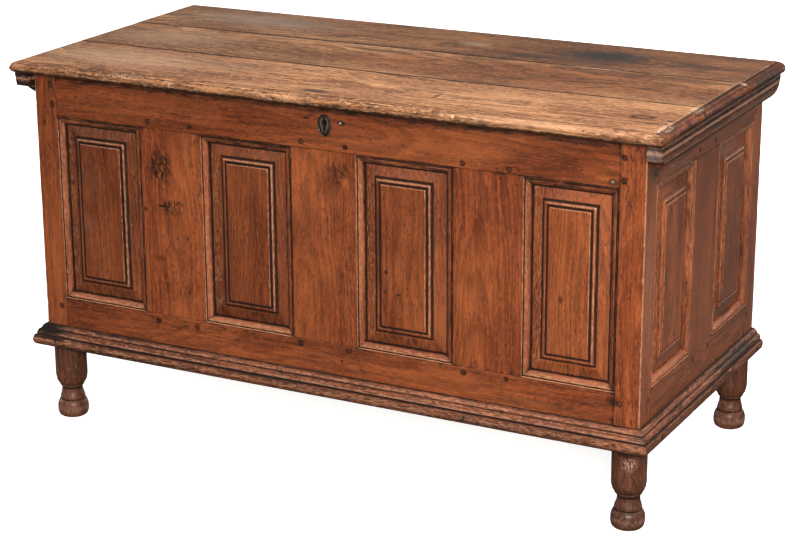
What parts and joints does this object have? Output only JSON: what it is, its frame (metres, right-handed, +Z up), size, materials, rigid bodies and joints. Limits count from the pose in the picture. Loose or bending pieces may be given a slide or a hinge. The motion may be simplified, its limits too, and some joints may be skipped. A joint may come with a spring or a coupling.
{
  "type": "paneled chest",
  "caption": "Joined blanket chest with raised walnut-brown panels in mitred mouldings, a hinged thumbnail-edged lid with end cleats, a moulded base and turned feet.",
  "frame": {"origin": "on the floor under the middle of the whole chest's bounding box", "axes": "+X runs to the right along the chest's length as seen from the front, +Y to the back, +Z up"},
  "size_m": [1.275, 0.6162, 0.7003],
  "materials": {
    "case_wood": "worn waxed reddish-brown hardwood, satin, dark residue in the quirks",
    "moulding_wood": "worn waxed reddish-brown hardwood, satin, paler on the rounds",
    "base_wood": "dark worn hardwood, satin, lighter on the ridges",
    "lid_wood": "dry worn tan hardwood, nearly matt, with dark stains",
    "foot_wood": "dark greyish-brown turned hardwood, satin, worn pale at the floor",
    "inner_wood": "unfinished sawn and planed secondary wood, matt",
    "peg_wood": "dark end grain",
    "iron": "dark wrought iron, dull and lightly rusted"
  },
  "bodies": {
    "case": {"front_left_post": "case_wood", "front_right_post": "case_wood", "rear_left_post": "case_wood", "rear_right_post": "case_wood", "front_top_rail": "case_wood", "front_bottom_rail": "case_wood", "front_left_muntin": "case_wood", "front_middle_muntin": "case_wood", "front_right_muntin": "case_wood", "front_panel_1": "case_wood", "front_panel_2": "case_wood", "front_panel_3": "case_wood", "front_panel_4": "case_wood", "front_moulding_1": "moulding_wood", "front_moulding_2": "moulding_wood", "front_moulding_3": "moulding_wood", "front_moulding_4": "moulding_wood", "left_top_rail": "case_wood", "left_bottom_rail": "case_wood", "left_muntin": "case_wood", "left_front_panel": "case_wood", "left_rear_panel": "case_wood", "left_front_moulding": "moulding_wood", "left_rear_moulding": "moulding_wood", "right_top_rail": "case_wood", "right_bottom_rail": "case_wood", "right_muntin": "case_wood", "right_front_panel": "case_wood", "right_rear_panel": "case_wood", "right_front_moulding": "moulding_wood", "right_rear_moulding": "moulding_wood", "back_top_rail": "inner_wood", "back_bottom_rail": "inner_wood", "back_muntins": "inner_wood", "back_panels": "inner_wood", "bottom_boards": "inner_wood", "base_moulding_front": "base_wood", "base_moulding_left": "base_wood", "base_moulding_right": "base_wood", "front_left_foot": "foot_wood", "front_right_foot": "foot_wood", "rear_left_foot": "foot_wood", "rear_right_foot": "foot_wood", "hinge_leaves": "iron", "hinge_pins": "iron", "escutcheon": "iron", "lock_case": "iron", "frame_pegs": "peg_wood", "base_nails": "iron", "hardware_nails": "iron"},
    "lid": {"lid_front_board": "lid_wood", "lid_middle_board": "lid_wood", "lid_rear_board": "lid_wood", "left_cleat": "base_wood", "right_cleat": "base_wood", "hinge_straps": "iron", "lock_staple": "iron", "lid_nails": "iron"},
    "bolt": {"lock_bolt": "iron"}
  },
  "joints": [
    {"name": "lid_hinge", "type": "hinge", "parent": "case", "child": "lid", "pos_m": [0, 0.30115, 0.6707], "axis": [-1, 0, 0], "range_deg": [0, 100]},
    {"name": "bolt_slide", "type": "slide", "parent": "case", "child": "bolt", "axis": [-1, 0, 0], "range_m": [0, 0.01]}
  ]
}
